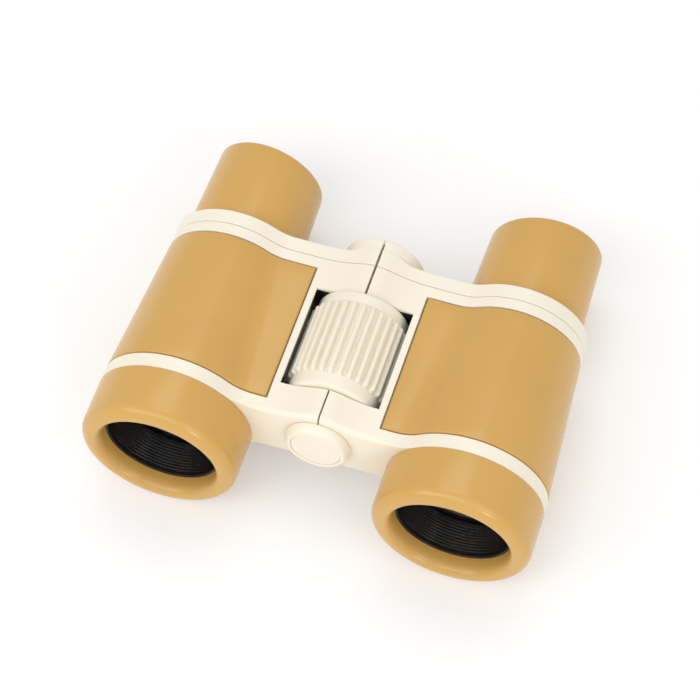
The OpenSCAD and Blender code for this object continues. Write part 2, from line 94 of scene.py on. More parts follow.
CAP_Y0, CAP_Y1 = span("rear_cap", 1)
CAP_R = half_width("rear_cap")
BODY_Y0 = RING_Y1 + FIT
BODY_Y1 = span("right_body", 1)[1]

# Sizes that no box gives, after the CAD source.
BARREL_FRONT_R = 17.4
BARREL_REAR_R = 15.2
FRONT_BAND = 3.3
REAR_BAND = 2.6
ARM_TOP = 11.2
ARM_BOTTOM = 2.8
COVE_R = 9.0
FOOT_R = 4.0
PANEL_T = 1.2
PANEL_EDGE = 0.35
LIP_W = 4.7
LIP_ROUND = 2.6
SPIGOT_R = 16.25
SPIGOT_LEN = 4.0
CELL_LIP = 0.4
CELL_SEAT = 3.4
SEAT_STEP = 1.15
PIN_R = 4.45
PIN_WALL = 1.2
SPINDLE_R = 2.1
BOSS_TAPER = 1.25
COVER_SINK = 0.95
WELL_DEPTH = 1.9
CAP_SOCKET_R = 3.3
CAP_SOCKET = 1.6
BRIDGE_T = 3.3
NECK_STEP = 0.8
NECK_WALL = 1.0
TUBE_SOCKET = 3.95
EYE_TAPER = 0.65
EYE_SLANT = math.tan(math.radians(5.0))
EYE_EDGE = 0.6
EYE_END_W = 4.6
EYE_RECESS = 5.0
FRONT_COLLAR = 3.3
REAR_COLLAR = 2.9
COLLAR_DROP = 0.8
BEARING_LEN = 3.0
SLIT_HALF = 0.275
WHEEL_TUCK = 0.3
WHEEL_SIDE_GAP = 0.35
WHEEL_END_GAP = 0.2
WINDOW_X = WHEEL_R - WHEEL_TUCK
WINDOW_Y0, WINDOW_Y1 = WHEEL_Y0 - WHEEL_END_GAP, WHEEL_Y1 + WHEEL_END_GAP
POCKET_R = WHEEL_R + WHEEL_SIDE_GAP

# Sizes of the looks alone, matched to the photograph.
PANEL_LINE = 0.12
MOUTH_FLARE = 1.6
MOUTH_DEPTH = 3.2
HUB_REACH = 1.0
CAP_CUT = 0.8
RIDGE_DEPTH = 0.07
GROOVE_DEPTH = 1.2
FRONT_EDGE = 1.2
FRONT_SLIT_HALF = 0.19

# Edge radii of the turned pieces.
SEAT_EDGE = 0.05
BORE_EDGE = 0.08
FINE_EDGE = 0.1
CELL_EDGE = 0.12
COVER_EDGE = 0.15
PIN_EDGE = 0.2
SHOULDER_EDGE = 0.25
EYE_MOUTH_EDGE = 0.7


# Mesh making

SHARP_ANGLE = 35


def arc(centre, radius, start, end, steps, first=0):
    """Points of an arc in a plane; angles in degrees."""
    points = []
    for i in range(first, steps + 1):
        angle = math.radians(start + (end - start) * i / steps)
        points.append((centre[0] + radius * math.cos(angle), centre[1] + radius * math.sin(angle)))
    return points


def quarter_turn(steps):
    """Angles from 0 to a right angle, in radians."""
    return [math.pi / 2 * i / steps for i in range(steps + 1)]


def full_turn(steps):
    """Angles round a circle, in radians."""
    return [2 * math.pi * i / steps for i in range(steps)]


def filleted(corners, steps):
    """Closed outline of (a, b, corner radius), with each corner turned into an arc."""
    points = []
    count = len(corners)
    for i, (a, b, radius) in enumerate(corners):
        if radius <= 0:
            points.append((a, b))
            continue
        here = Vector((a, b))
        back = Vector(corners[i - 1][:2]) - here
        ahead = Vector(corners[(i + 1) % count][:2]) - here
        half = back.angle(ahead) / 2
        reach = radius / math.tan(half)
        inward = (back.normalized() + ahead.normalized()).normalized()
        centre = here + inward * (radius / math.sin(half))
        start = here + back.normalized() * reach - centre
        end = here + ahead.normalized() * reach - centre
        turn = start.angle_signed(end)
        for k in range(steps + 1):
            angle = math.atan2(start.y, start.x) - turn * k / steps
            points.append((centre.x + radius * math.cos(angle),
                           centre.y + radius * math.sin(angle)))
    return points


def skin(rings, closed):
    """Vertices, and the faces between each ring of points and the next."""
    across, rows = len(rings[0]), len(rings)
    verts = [[c * MM for c in p] for ring in rings for p in ring]
    faces = []
    for j in range(rows if closed else rows - 1):
        n = (j + 1) % rows
        for i in range(across):
            k = (i + 1) % across
            faces.append((j * across + i, j * across + k, n * across + k, n * across + i))
    return verts, faces


def mesh_piece(name, rings, material, body, nodes, sharp=SHARP_ANGLE):
    """Closed skin over rings of points; each ring is closed, and so is the row of rings."""
    verts, faces = skin(rings, closed=True)
    finished_piece(name, verts, faces, material, body, nodes, sharp)


def capped_loft(name, rings, material, body, nodes):
    """Skin over a row of closed rings, with an end face on the first and on the last."""
    across = len(rings[0])
    verts, faces = skin(rings, closed=False)
    last = len(verts) - across
    faces.append(tuple(range(across)))
    faces.append(tuple(last + i for i in reversed(range(across))))
    finished_piece(name, verts, faces, material, body, nodes, SHARP_ANGLE)


def finished_piece(name, verts, faces, material, body, nodes, sharp):
    """Smooth-shaded object that rides on a body and stands for CAD nodes."""
    mesh = bpy.data.meshes.new(name)
    mesh.from_pydata(verts, [], faces)
    mesh.validate()
    mesh.polygons.foreach_set("use_smooth", [True] * len(mesh.polygons))
    mesh.set_sharp_from_angle(angle=math.radians(sharp))
    mesh.materials.append(material)
    piece = bpy.data.objects.new(name, mesh)
    bpy.context.scene.collection.objects.link(piece)
    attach(piece, body)
    if nodes:
        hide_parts(*nodes)


def turned_piece(name, profile, x, z, material, body, nodes, segments=160):
    """A closed profile of (radius, y), turned about a line along Y."""
    rings = []
    for angle in full_turn(segments):
        c, s = math.cos(angle), math.sin(angle)
        rings.append([(x + r * c, y, z + r * s) for r, y in profile])
    mesh_piece(name, rings, material, body, nodes)


# Materials

PLASTIC_IOR = 1.49
NOISE_ROUGHNESS = 0.55
NOISE_LOW, NOISE_HIGH = 0.3, 0.7
CLOUD_SCALE = 45.0
GLOSS_SCALE = 130.0
GRAIN_STRENGTH = 0.6


def node_tree(name):
    material = bpy.data.materials.new(name)
    material.use_nodes = True
    tree = material.node_tree
    return material, tree, tree.nodes["Principled BSDF"]


def noise(tree, scale, detail=3.0):
    coords = tree.nodes.new("ShaderNodeTexCoord")
    texture = tree.nodes.new("ShaderNodeTexNoise")
    texture.inputs["Scale"].default_value = scale
    texture.inputs["Detail"].default_value = detail
    texture.inputs["Roughness"].default_value = NOISE_ROUGHNESS
    tree.links.new(coords.outputs["Object"], texture.inputs["Vector"])
    return texture.outputs["Fac"]


def spread(tree, factor, low, high):
    """Noise, which gathers round its middle, stretched to run from low to high."""
    node = tree.nodes.new("ShaderNodeMapRange")
    node.inputs["From Min"].default_value = NOISE_LOW
    node.inputs["From Max"].default_value = NOISE_HIGH
    node.inputs["To Min"].default_value = low
    node.inputs["To Max"].default_value = high
    tree.links.new(factor, node.inputs["Value"])
    return node.outputs["Result"]


def clouded(tree, scale, dark, light):
    """Colour that drifts between two tones."""
    node = tree.nodes.new("ShaderNodeMix")
    node.data_type = "RGBA"
    node.inputs["A"].default_value = (*dark, 1)
    node.inputs["B"].default_value = (*light, 1)
    tree.links.new(spread(tree, noise(tree, scale), 0, 1), node.inputs["Factor"])
    return node.outputs["Result"]


def moulded_plastic(name, dark, light, gloss, grain, grain_depth, shine):
    """Moulded plastic: flow clouds in the colour, uneven gloss and a fine spark-eroded grain.

    gloss is the range of the roughness, grain the scale of the grain and shine the specular level.
    """
    material, tree, shader = node_tree(name)
    tree.links.new(clouded(tree, CLOUD_SCALE, dark, light), shader.inputs["Base Color"])
    tree.links.new(spread(tree, noise(tree, GLOSS_SCALE, detail=1.0), *gloss),
                   shader.inputs["Roughness"])
    bump = tree.nodes.new("ShaderNodeBump")
    bump.inputs["Strength"].default_value = GRAIN_STRENGTH
    bump.inputs["Distance"].default_value = grain_depth * MM
    tree.links.new(noise(tree, grain, detail=2.0), bump.inputs["Height"])
    tree.links.new(bump.outputs["Normal"], shader.inputs["Normal"])
    shader.inputs["IOR"].default_value = PLASTIC_IOR
    shader.inputs["Specular IOR Level"].default_value = shine
    return material


def coated_lens():
    """Clear moulded lens, a little warm, with a violet coat."""
    material, tree, shader = node_tree("coated_lens")
    shader.inputs["Base Color"].default_value = (0.95, 0.87, 0.73, 1)
    shader.inputs["Transmission Weight"].default_value = 1.0
    shader.inputs["IOR"].default_value = PLASTIC_IOR
    tree.links.new(spread(tree, noise(tree, 260.0), 0.0, 0.03), shader.inputs["Roughness"])
    shader.inputs["Coat Weight"].default_value = 0.35
    shader.inputs["Coat Tint"].default_value = (0.86, 0.78, 1.0, 1)
    return material


def turned_steel():
    """Steel of the spindle, its screw and its washer."""
    material, tree, shader = node_tree("turned_steel")
    tree.links.new(clouded(tree, 300.0, dark=(0.5, 0.5, 0.51), light=(0.62, 0.62, 0.63)),
                   shader.inputs["Base Color"])
    shader.inputs["Metallic"].default_value = 1.0
    tree.links.new(spread(tree, noise(tree, 900.0, detail=4.0), 0.24, 0.4),
                   shader.inputs["Roughness"])
    return material


CREAM = moulded_plastic("cream_plastic", dark=(0.875, 0.81, 0.67), light=(0.905, 0.84, 0.70),
                        gloss=(0.35, 0.41), grain=3000.0, grain_depth=0.004, shine=0.5)
MUSTARD = moulded_plastic("mustard_plastic", dark=(0.615, 0.355, 0.089), light=(0.64, 0.373, 0.096),
                          gloss=(0.21, 0.26), grain=2600.0, grain_depth=0.004, shine=0.5)
BLACK = moulded_plastic("black_plastic", dark=(0.008, 0.008, 0.008), light=(0.013, 0.013, 0.012),
                        gloss=(0.2, 0.28), grain=2600.0, grain_depth=0.003, shine=0.42)
LENS = coated_lens()
STEEL = turned_steel()


# Turned pieces: rings, cells, eyepieces, boss, cover and cap

FLARE_STEPS = 14
DOME_STEPS = 14
NEAR_AXIS = 0.01
RIDGES = 9
RIDGE_MARGIN = 0.8
# One groove between ridges: place as a share of the pitch, depth as a share of the groove's,
# corner radius.
RIDGE_GROOVE = ((0.7, 0, 0.06), (0.5, 1, 0.05), (0.25, 1, 0.05), (0.05, 0, 0.06))
EYE_SEGMENTS = 192
EYE_SHEARED = 2.0
EYE_MARGIN = 0.01
EYE_FLAT_TRIM = 0.15
BOSS_BAND = 0.3
CAP_BAND = 0.4


def objective_ring(side, k):
    """Ring over the barrel's spigot, with a mouth that opens in a quarter ellipse."""
    lip_r = RING_R - LIP_W
    spigot_y0 = BODY_Y0 - SPIGOT_LEN - FIT
    corners = [(SPIGOT_R, RING_Y1, FINE_EDGE), (RING_R, RING_Y1, SHOULDER_EDGE),
               (RING_R, RING_Y0, LIP_ROUND)]
    corners += [(lip_r + MOUTH_FLARE * (1 - math.sin(turn)),
                 RING_Y0 + MOUTH_DEPTH * (1 - math.cos(turn)), 0)
                for turn in quarter_turn(FLARE_STEPS)]
    corners += [(lip_r, CELL_Y0 - FIT, BORE_EDGE), (CELL_R + FIT, CELL_Y0 - FIT, 0),
                (CELL_R + FIT, spigot_y0, 0), (SPIGOT_R, spigot_y0, 0)]
    turned_piece(side + "_ring_look", filleted(corners, steps=12), k * BARREL_X, AXIS_Z, MUSTARD,
                 side + "_half", [side + "_objective_ring"], segments=192)


def objective_cell(side, k):
    """Black cell with fine ridges in front of the lens."""
    bore = RING_R - LIP_W - CELL_LIP
    seat_r = bore + SEAT_STEP
    seat = CELL_Y1 - CELL_SEAT
    pitch = (seat - CELL_Y0 - 2 * RIDGE_MARGIN) / RIDGES
    corners = [(bore, CELL_Y0, CELL_EDGE), (CELL_R, CELL_Y0, 0), (CELL_R, CELL_Y1, FINE_EDGE),
               (seat_r, CELL_Y1, 0), (seat_r, seat, 0), (bore, seat, 0)]
    for i in reversed(range(RIDGES)):
        y = CELL_Y0 + RIDGE_MARGIN + i * pitch
        corners += [(bore + RIDGE_DEPTH * depth, y + place * pitch, edge)
                    for place, depth, edge in RIDGE_GROOVE]
    turned_piece(side + "_cell_look", filleted(corners, steps=3), k * BARREL_X, AXIS_Z, BLACK,
                 side + "_half", [side + "_objective_cell"])


def eyepiece(side, k):
    """Tapered tube whose end is sheared, so that its outer side is the longer one."""
    back = BRIDGE_Y0 + BRIDGE_T + FIT
    neck = EYE_R - NECK_STEP
    socket_r = neck - NECK_WALL
    socket = back + TUBE_SOCKET
    end = EYE_R - EYE_TAPER
    end_y = EYE_Y1 - EYE_MARGIN
    flat_r = end + EYE_FLAT_TRIM - EYE_EDGE
    bore = end - EYE_END_W
    seat_r = bore + SEAT_STEP
    seat = EYE_Y1 - EYE_RECESS
    corners = [(socket_r, EYE_Y0, 0), (neck, EYE_Y0, FINE_EDGE), (neck, back, 0),
               (EYE_R, back, SHOULDER_EDGE), (end, end_y, EYE_EDGE), (bore, end_y, EYE_MOUTH_EDGE),
               (bore, seat, SEAT_EDGE), (seat_r, seat, 0), (seat_r, socket, 0),
               (socket_r, socket, 0)]
    profile = filleted(corners, steps=8)
    rings = []
    for angle in full_turn(EYE_SEGMENTS):
        c, s = math.cos(angle), math.sin(angle)
        ring = []
        for r, y in profile:
            lean = EYE_SLANT * (k * r * c - flat_r) if y > EYE_Y1 - EYE_SHEARED else 0.0
            ring.append((k * BARREL_X + r * c, y + lean, AXIS_Z + r * s))
        rings.append(ring)
    mesh_piece(side + "_eyepiece_look", rings, MUSTARD, side + "_carriage",
               [side + "_eyepiece"])


def hinge_piece(name, profile, body, node):
    """A cream piece turned about the hinge line."""
    turned_piece(name, profile, 0, HINGE_Z, CREAM, body, [node], segments=128)


def dome(foot, end):
    """Side of the boss or the cap: a quarter ellipse of (radius, y) from its foot to its flat end."""
    return [(BOSS_R - BOSS_TAPER + BOSS_TAPER * math.cos(turn), foot + (end - foot) * math.sin(turn))
            for turn in quarter_turn(DOME_STEPS)]


def hinge_boss():
    """Hollow pin with a domed flange, a recess for the cover and a well for the spindle's screw."""
    foot = BODY_Y0 - FIT
    bore = SPINDLE_R + RUN
    recess_r = COVER_R + FIT
    recess = BOSS_Y0 + COVER_SINK
    well_r = PIN_R - PIN_WALL
    well = recess + WELL_DEPTH
    profile = [(bore, well), (well_r, well), (well_r, recess), (recess_r, recess),
               (recess_r, BOSS_Y0 + FINE_EDGE), (recess_r + FINE_EDGE, BOSS_Y0)]
    profile += reversed(dome(foot - BOSS_BAND, BOSS_Y0))
    profile += [(BOSS_R, foot - FINE_EDGE), (BOSS_R - FINE_EDGE, foot), (PIN_R, foot),
                (PIN_R, BOSS_Y1 - PIN_EDGE), (PIN_R - PIN_EDGE, BOSS_Y1), (bore, BOSS_Y1)]
    hinge_piece("boss_look", profile, "left_half", "hinge_boss")


def boss_cover():
    """Disc let into the boss."""
    corners = [(NEAR_AXIS, COVER_Y0, 0), (COVER_R, COVER_Y0, COVER_EDGE), (COVER_R, COVER_Y1, 0),
               (NEAR_AXIS, COVER_Y1, 0)]
    hinge_piece("cover_look", filleted(corners, steps=6), "left_half", "boss_cover")


def rear_cap():
    """Low cap behind the bridge hub, which reaches back over the cap's front by HUB_REACH."""
    socket = CAP_Y0 + CAP_SOCKET
    front = CAP_Y0 + HUB_REACH
    end = CAP_Y1 - CAP_CUT
    profile = [(NEAR_AXIS, socket), (CAP_SOCKET_R, socket), (CAP_SOCKET_R, front),
               (CAP_R - COVER_EDGE, front), (CAP_R, front + COVER_EDGE)]
    profile += dome(front + CAP_BAND, end)
    profile += [(NEAR_AXIS, end)]
    hinge_piece("rear_cap_look", profile, "left_carriage", "rear_cap")


for name, sign in SIDES:
    objective_ring(name, sign)
    objective_cell(name, sign)
    eyepiece(name, sign)
hinge_boss()
boss_cover()
rear_cap()


# Grip panels

COVE_STEPS, BARREL_STEPS, FOOT_STEPS = 16, 120, 10
ARM_LEAD = 0.6
PANEL_EDGE_STEPS = 5
PANEL_STATIONS = 12
# Rounded corner of the panel's section: distance from its edge, depth under its surface.
PANEL_CORNER = ((0.0, PANEL_EDGE), (0.1, 0.1))


def heading(a, b):
    return math.degrees(math.atan2(b[1] - a[1], b[0] - a[0]))


def shell_line(r, x0, e):
    """Outline of a half from the arm's top at x0, over the barrel, to the arm's underside.

    The barrel has the radius r, and the outline lies inside the surface by e.
    """
    barrel = (BARREL_X, 0)
    cove_z, foot_z = ARM_TOP + COVE_R, -ARM_BOTTOM - FOOT_R
    cove = (BARREL_X - math.sqrt((r + COVE_R) ** 2 - cove_z ** 2), cove_z)
    foot = (BARREL_X - math.sqrt((r + FOOT_R) ** 2 - foot_z ** 2), foot_z)
    lead = x0 + ARM_LEAD
    to_cove, to_foot = heading(barrel, cove), heading(barrel, foot)

    def turn(centre, radius):
        return math.degrees(math.acos((lead - centre[0]) / radius)) if lead > centre[0] else 90.0

    def reach(centre, radius):
        return math.sqrt(radius ** 2 - (x0 - centre[0]) ** 2) if x0 > centre[0] else radius

    return ([(x0, cove[1] - reach(cove, COVE_R + e))]
            + arc(cove, COVE_R + e, -turn(cove, COVE_R + e), to_cove - 180, COVE_STEPS)
            + arc(barrel, r - e, to_cove, to_foot, BARREL_STEPS, first=1)
            + arc(foot, FOOT_R + e, to_foot + 180, turn(foot, FOOT_R + e), FOOT_STEPS, first=1)
            + [(x0, foot[1] + reach(foot, FOOT_R + e))])


def barrel_radius(y):
    front = BODY_Y0 + FRONT_BAND
    rear = BODY_Y1 - REAR_BAND
    return BARREL_FRONT_R + (BARREL_REAR_R - BARREL_FRONT_R) * (y - front) / (rear - front)


def grip_panel(side, k):
    """Wrap-round panel with rounded edges: one closed section, swept along Y."""
    front = PANEL_Y0 + PANEL_LINE
    inner_x = PANEL_X + PANEL_LINE
    inset = [(PANEL_EDGE * (1 - math.sin(turn)), PANEL_EDGE * (1 - math.cos(turn)))
             for turn in quarter_turn(PANEL_EDGE_STEPS)]
    stations = [(front + y, e) for e, y in inset]
    stations += [(front + (PANEL_Y1 - front) * i / PANEL_STATIONS, 0.0)
                 for i in range(1, PANEL_STATIONS)]
    stations += [(PANEL_Y1 - y, e) for e, y in reversed(inset)]
    rings = []
    for y, e in stations:
        r = barrel_radius(y)
        corner = [shell_line(r, inner_x + d, max(e, sunk)) for d, sunk in PANEL_CORNER]
        section = [line[0] for line in corner]
        section += shell_line(r, inner_x + PANEL_EDGE, e)
        section += [line[-1] for line in reversed(corner)]
        section += reversed(shell_line(r, inner_x, PANEL_T))
        rings.append([(k * x, y, AXIS_Z + z) for x, z in section])
    capped_loft(side + "_panel_look", rings, MUSTARD, side + "_half", [side + "_grip_panel"])


for name, sign in SIDES:
    grip_panel(name, sign)


# Focus wheel

RIBS = 32
STEPS_PER_RIB = 16
HALF_RIB = 0.31
CROWN_POWER = 2.6
RIB_RAMP = 0.7
RAMP_STEPS = 10
GROOVE_RAMP = 0.2
COLLAR_EDGE = 0.7
COLLAR_EDGE_STEPS = 6
COLLAR_END = 0.3
WHEEL_SHARP_ANGLE = 50


def smooth(t):
    """Smooth step from 0 to 1."""
    t = min(max(t, 0.0), 1.0)
    return t * t * (3 - 2 * t)


def focus_wheel():
    """Ribbed wheel: the radius is a function of the angle and of the place along Y."""
    front, rear = WHEEL_Y0 + FRONT_COLLAR, WHEEL_Y1 - REAR_COLLAR
    collar = WHEEL_R - COLLAR_DROP
    bearing = PIN_R + RUN

    def ribbed(turn, y):
        place = abs((turn * RIBS) % 1.0 - 0.5) / HALF_RIB
        crown = math.sqrt(max(1 - place ** CROWN_POWER, 0.0))
        rib_end = math.sqrt(smooth((y - front) / RIB_RAMP) * smooth((rear - y) / RIB_RAMP))
        groove_end = smooth((y - front) / GROOVE_RAMP) * smooth((rear - y) / GROOVE_RAMP)
        groove_r = collar - (GROOVE_DEPTH - COLLAR_DROP) * groove_end
        return groove_r + (WHEEL_R - groove_r) * crown * rib_end

    # Each station is a radius, or None where the ribs are, and a place along Y.
    ramp = [RIB_RAMP * i / RAMP_STEPS for i in range(RAMP_STEPS + 1)]
    edge_r = collar - COLLAR_EDGE
    stations = arc((edge_r, WHEEL_Y0 + COLLAR_EDGE), COLLAR_EDGE, -90, 0, COLLAR_EDGE_STEPS)
    stations += [(collar, front - COLLAR_END)]
    stations += [(None, front + y) for y in ramp]
    stations += [(None, rear - y) for y in reversed(ramp)]
    stations += [(collar, rear + COLLAR_END)]
    stations += arc((edge_r, WHEEL_Y1 - COLLAR_EDGE), COLLAR_EDGE, 0, 90, COLLAR_EDGE_STEPS)
    stations += [(bearing, WHEEL_Y1), (bearing, WHEEL_Y1 - BEARING_LEN),
                 (SPINDLE_R, WHEEL_Y1 - BEARING_LEN), (SPINDLE_R, WHEEL_Y0 + BEARING_LEN),
                 (bearing, WHEEL_Y0 + BEARING_LEN), (bearing, WHEEL_Y0)]
    count = RIBS * STEPS_PER_RIB
    rings = []
    for r, y in stations:
        ring = []
        for i, angle in enumerate(full_turn(count)):
            here = ribbed(i / count, y) if r is None else r
            ring.append((here * math.cos(angle), y, HINGE_Z + here * math.sin(angle)))
        rings.append(ring)
    mesh_piece("wheel_look", rings, CREAM, "focus", ["focus_wheel"],
               WHEEL_SHARP_ANGLE)


focus_wheel()


# Body halves and bridges: the solids with their edges rounded as a mould rounds them

FRONT_EDGE_STEPS = 6
FADE_X0, FADE_X1, FADE_STEPS = 11.0, 18.0, 7
PIN_ZONE_R = 7.0
TOP_RISE = 6.0
FACING_UP = 0.5
CUT_TOLERANCE = 1e-7
NEAR = 0.1
HAIR = 0.01
HUB_END = 0.02
DOUBLES = 0.003
FLAT_ANGLE = 0.4
EDGE_ANGLE = 50
SMALL_EDGE = 0.16
SMALL_EDGE_STEPS = 3
BODY_SHARP_ANGLE = 40


def near_pin(x, z):
    return math.hypot(x, z - HINGE_Z) < PIN_ZONE_R


def faces_up(face):
    return face.normal.z > FACING_UP


def cut(shape, faces, place, direction):
    """Cuts the faces along a plane."""
    edges = {edge for face in faces for edge in face.edges}
    verts = {vert for face in faces for vert in face.verts}
    bmesh.ops.bisect_plane(shape, geom=[*verts, *edges, *faces], dist=CUT_TOLERANCE,
                           plane_co=place, plane_no=direction)


def round_front(shape):
    """Rounds the front top edge of hub and arm, with a radius that fades out towards the barrel.

    The top is cut into strips along the edge and across the fade, and their corners are lowered.
    """
    for turn in quarter_turn(FRONT_EDGE_STEPS)[1:]:
        y = BODY_Y0 + FRONT_EDGE * (1 - math.cos(turn))
        tops = [face for face in shape.faces
                if faces_up(face) and min(abs(vert.co.x) for vert in face.verts) < FADE_X1 * MM]
        cut(shape, tops, (0, y * MM, 0), (0, 1, 0))
    rear = (BODY_Y0 + FRONT_EDGE + HAIR) * MM
    for i in range(FADE_STEPS + 1):
        fade_x = (FADE_X0 + (FADE_X1 - FADE_X0) * i / FADE_STEPS) * MM
        for x in (fade_x, -fade_x):
            strips = [face for face in shape.faces
                      if faces_up(face) and max(vert.co.y for vert in face.verts) < rear]
            cut(shape, strips, (x, 0, 0), (1, 0, 0))
    shape.normal_update()
    drops = []
    for vert in shape.verts:
        x, y, z = vert.co / MM
        depth = max(y - BODY_Y0, 0.0)
        radius = FRONT_EDGE * (1 - smooth((abs(x) - FADE_X0) / (FADE_X1 - FADE_X0)))
        on_top = z > AXIS_Z + TOP_RISE and any(faces_up(face) for face in vert.link_faces)
        if on_top and depth < radius and not near_pin(x, z):
            drops.append((vert, radius - math.sqrt(radius ** 2 - (radius - depth) ** 2)))
    for vert, drop in drops:
        vert.co.z -= drop * MM


def reach_back(shape):
    """Moves the end of the bridge hub back, over the front of the cap."""
    end = max(vert.co.y for vert in shape.verts)
    for vert in shape.verts:
        if vert.co.y > end - HUB_END * MM:
            vert.co.y += HUB_REACH * MM


def narrow_slit(shape):
    """Brings the walls of the front slit closer together."""
    for vert in shape.verts:
        at_wall = abs(abs(vert.co.x) / MM - SLIT_HALF) < HAIR
        if at_wall and vert.co.y / MM < WINDOW_Y0 + NEAR:
            vert.co.x = math.copysign(FRONT_SLIT_HALF * MM, vert.co.x)


def depth_of(face):
    places = [vert.co.y / MM for vert in face.verts]
    return max(places) - min(places)


def edge_share(edge):
    """1 for an edge that the mould rounds a little, 0 for one that stays as it is."""
    if len(edge.link_faces) != 2 or edge.calc_face_angle(0) < math.radians(EDGE_ANGLE):
        return 0.0
    a, b = (v.co / MM for v in edge.verts)
    middle = (a + b) / 2
    at_slit = max(abs(a.x), abs(b.x)) < SLIT_HALF + 2 * HAIR
    at_window_end = min(abs(middle.y - WINDOW_Y0), abs(middle.y - WINDOW_Y1)) < NEAR
    strip_end = at_window_end and WINDOW_X - NEAR < abs(middle.x) < PANEL_X + NEAR
    at_rounding = any(faces_up(face) and depth_of(face) < NEAR for face in edge.link_faces)
    stays = at_slit or strip_end or at_rounding or near_pin(middle.x, middle.z)
    return 0.0 if stays else 1.0


def moulded_copy(node, name, body):
    """Copy of a CAD node with its edges rounded as a mould rounds them, and a finer front slit."""
    source = frame["nodes"][node].data
    mesh = bpy.data.meshes.new(name)
    mesh.from_pydata([v.co for v in source.vertices], [], [p.vertices for p in source.polygons])
    shape = bmesh.new()
    shape.from_mesh(mesh)
    bmesh.ops.remove_doubles(shape, verts=shape.verts, dist=DOUBLES * MM)
    bmesh.ops.dissolve_limit(shape, angle_limit=math.radians(FLAT_ANGLE),
                             verts=shape.verts, edges=shape.edges)
    shape.normal_update()
    if node.endswith("body"):
        round_front(shape)
    else:
        reach_back(shape)
    share = shape.edges.layers.float.new("bevel_weight_edge")
    for edge in shape.edges:
        edge[share] = edge_share(edge)
    narrow_slit(shape)
    shape.to_mesh(mesh)
    shape.free()
    mesh.polygons.foreach_set("use_smooth", [True] * len(mesh.polygons))
    mesh.set_sharp_from_angle(angle=math.radians(BODY_SHARP_ANGLE))
    mesh.materials.append(CREAM)
    piece = bpy.data.objects.new(name, mesh)
    bpy.context.scene.collection.objects.link(piece)
    bevel = piece.modifiers.new("edge_radius", "BEVEL")
    bevel.limit_method = "WEIGHT"
    bevel.width = SMALL_EDGE * MM
    bevel.segments = SMALL_EDGE_STEPS
    bevel.use_clamp_overlap = False
    bevel.miter_outer = "MITER_ARC"
    shade = piece.modifiers.new("even_shade", "WEIGHTED_NORMAL")
    shade.keep_sharp = True
    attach(piece, body)
    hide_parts(node)


# Painted shade: a thin black lining that darkens the wheel's pocket

SHADE_LINING_T = 0.05
SHADE_LINING_GAP = 0.02
SHADE_LINING_MARGIN = 0.5
SHADE_LINING_LEVELS = 24
SHADE_LINING_X = PIN_R + 0.4


def painted_shade_lining(side, k):
    """Thin black lining of painted shade, darkening the pocket: a channel with two ends, bulging where
    the pocket is round.
    """
    low, high = -ARM_BOTTOM + SHADE_LINING_MARGIN, ARM_TOP - SHADE_LINING_MARGIN
    y0, y1 = WINDOW_Y0 + SHADE_LINING_GAP, WINDOW_Y1 - SHADE_LINING_GAP
    inner_y0, inner_y1 = y0 + SHADE_LINING_T, y1 - SHADE_LINING_T
    rings = []
    for i in range(SHADE_LINING_LEVELS + 1):
        z = low + (high - low) * i / SHADE_LINING_LEVELS
        rise = AXIS_Z + z - HINGE_Z
        wall = WINDOW_X
        if abs(rise) < POCKET_R:
            wall = max(wall, math.sqrt(POCKET_R ** 2 - rise ** 2))
        wall -= SHADE_LINING_GAP
        inner_wall = wall - SHADE_LINING_T
        outline = [(SHADE_LINING_X, y0), (wall, y0), (wall, y1), (SHADE_LINING_X, y1),
                   (SHADE_LINING_X, inner_y1), (inner_wall, inner_y1),
                   (inner_wall, inner_y0), (SHADE_LINING_X, inner_y0)]
        rings.append([(k * x, y, AXIS_Z + z) for x, y in outline])
    capped_loft(side + "_painted_shade_lining", rings, BLACK, side + "_half", [])


for name, sign in SIDES:
    moulded_copy(name + "_body", name + "_body_look", name + "_half")
    moulded_copy(name + "_bridge", name + "_bridge_look", name + "_carriage")
    # The black lining is painted shade: it darkens the wheel's pocket.
    painted_shade_lining(name, sign)


# All CAD nodes get their materials, those that stay in sight and those that a piece stands for

NODE_MATERIALS = {
    "cream_plastic": CREAM,
    "mustard_plastic": MUSTARD,
    "black_plastic": BLACK,
    "clear_lens": LENS,
    "steel": STEEL,
}
for part in frame["record"]["subparts"]:
    solid = frame["nodes"][part["node"]]
    solid.data.materials.clear()
    solid.data.materials.append(NODE_MATERIALS[part["material_slot"]])
    if part["material_slot"] == "clear_lens":
        solid.visible_shadow = False


# Stage: a pale floor under the points that the object rests on, soft light, the photograph's view

FLOOR_SIZE = 4000.0
FLOOR_GAP = 0.1
FLOOR_COLOUR = (0.93, 0.93, 0.93, 1)
FLOOR_ROUGHNESS = 0.9
FLOOR_GLOW = 1.25
FLOOR_LIFT = 0.23
WORLD_LIGHT = 0.66
WORLD_SEEN = 1.0
LAMP_AIM = Vector((0, 0, 15))
# Name, place, width and height, power.
LAMPS = (
    ("front_left", (-720, -720, 780), (600, 600), 2.9),
    ("front_right", (820, -640, 860), (500, 600), 1.6),
    ("window_right", (550, -880, 330), (150, 260), 1.15),
    ("front_top", (-100, -820, 1120), (800, 600), 2.8),
    ("rear_top", (-150, 420, 1240), (800, 600), 2.3),
)
CAMERA_AIM = Vector((0.0, BODY_Y0 + 25.96, AXIS_Z))
CAMERA_OFFSET = Vector((90.31, -286.35, 482.60))
CAMERA_SHIFT_LEFT, CAMERA_SHIFT_UP = 1.195, 0.833
CAMERA_LENS = 133.7
CAMERA_SENSOR = 36.0
CAMERA_NEAR, CAMERA_FAR = 10.0, 20000.0


def math_node(tree, operation, first):
    """Math node with its first input linked; gives the node."""
    node = tree.nodes.new("ShaderNodeMath")
    node.operation = operation
    tree.links.new(first, node.inputs[0])
    return node


